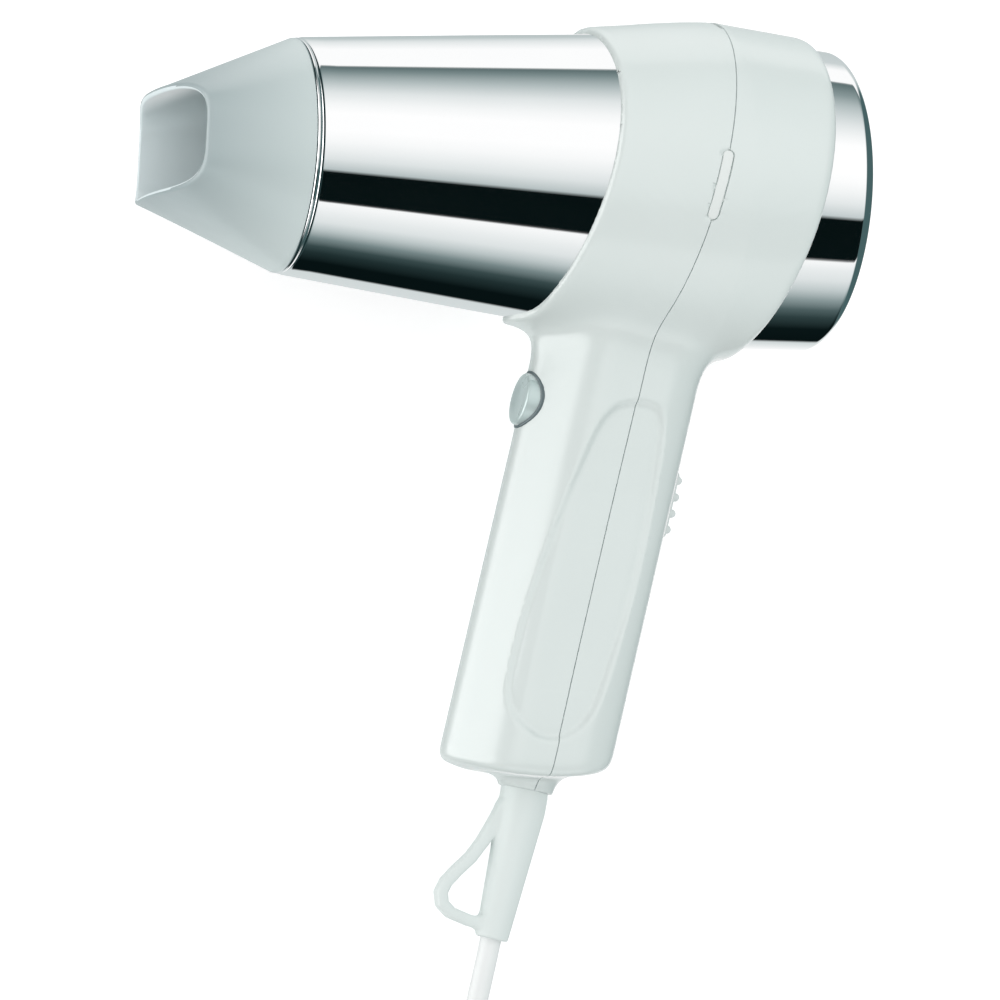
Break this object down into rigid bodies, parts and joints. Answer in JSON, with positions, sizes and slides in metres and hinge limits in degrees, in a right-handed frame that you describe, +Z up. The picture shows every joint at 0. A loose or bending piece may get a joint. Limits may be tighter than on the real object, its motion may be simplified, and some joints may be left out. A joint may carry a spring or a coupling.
{
  "type": "hair dryer",
  "caption": "Corded hair dryer lying on its side: chromed barrel, white two-shell casing and handle, flat concentrator nozzle, push button, slide switch, coiled cord with plug.",
  "frame": {"origin": "centre of the dryer's bounding box on the surface it lies on, without the free cord", "axes": "+X towards the air inlet along the barrel, -X out of the nozzle, -Y towards the handle's lower end, +Z up from the surface, out of the dryer's left side"},
  "size_m": [0.2367, 0.3902, 0.0966],
  "materials": {
    "white_plastic": "satin moulded",
    "nozzle_plastic": "satin moulded, heat resistant",
    "relief_rubber": "soft matt",
    "cord_pvc": "soft satin",
    "chrome": "mirror",
    "button_silver": "pearl satin",
    "bezel_grey": "satin",
    "switch_white": "satin",
    "clip_white": "satin",
    "dark_plastic": "moulded",
    "grille_plastic": "heat resistant, moulded",
    "grey_plastic": "moulded",
    "mica": "flaky, slightly glossy",
    "heating_alloy": "oxidised",
    "steel": "plated",
    "magnet": "sintered",
    "bronze": "sintered",
    "windings": "enamelled copper",
    "board_green": "lacquered",
    "lead_insulation": "silicone",
    "tie_grey": "woven",
    "plated_pins": "nickel plated",
    "filter_grey": "fine mesh"
  },
  "bodies": {
    "dryer": {"front_ring": "chrome", "front_tube": "chrome", "outlet_grille": "grille_plastic", "heater_sleeve": "mica", "heater_boards": "mica", "heating_wire": "heating_alloy", "thermostat": "steel", "thermal_fuse": "bronze", "fan_housing": "grey_plastic", "motor_can": "steel", "motor_magnets": "magnet", "motor_endcap": "dark_plastic", "motor_bushes": "bronze", "rear_cap": "chrome", "inlet_filter": "filter_grey", "inlet_grille": "switch_white", "front_shell": "white_plastic", "rear_shell": "white_plastic", "seam_clips": "clip_white", "shell_screws": "steel", "button_bezel": "bezel_grey", "button_spring": "steel", "micro_switch": "dark_plastic", "switch_plate": "switch_white", "slide_switch": "dark_plastic", "circuit_board": "board_green", "terminal_block": "switch_white", "lead_wires": "lead_insulation", "inner_cable": "cord_pvc", "cord_clamp": "grey_plastic", "clamp_screws": "steel", "strain_relief": "relief_rubber", "cord_tube": "cord_pvc", "cord_coil": "cord_pvc", "cord_tie": "tie_grey", "plug_body": "cord_pvc", "plug_pins": "plated_pins"},
    "nozzle": {"nozzle": "nozzle_plastic"},
    "rotor": {"armature": "windings", "motor_shaft": "steel", "impeller": "dark_plastic"},
    "button": {"push_button": "button_silver", "switch_plunger": "grey_plastic"},
    "slider": {"slide_knob": "switch_white"}
  },
  "joints": [
    {"name": "nozzle_turn", "type": "hinge", "parent": "dryer", "child": "nozzle", "pos_m": [-0.05975, 0.08181, 0.0483], "axis": [1, 0, 0], "continuous": true},
    {"name": "fan_spin", "type": "hinge", "parent": "dryer", "child": "rotor", "pos_m": [-0.05975, 0.08181, 0.0483], "axis": [1, 0, 0], "continuous": true},
    {"name": "button_press", "type": "slide", "parent": "dryer", "child": "button", "axis": [0.9823, -0.1842, -0.0342], "range_m": [0, 0.0025], "stiffness_N_per_m": 400, "springref_m": -0.003, "deforming": ["button_spring"]},
    {"name": "switch_slide", "type": "slide", "parent": "dryer", "child": "slider", "axis": [0.1874, 0.9658, 0.179], "range_m": [-0.004, 0.004]}
  ]
}
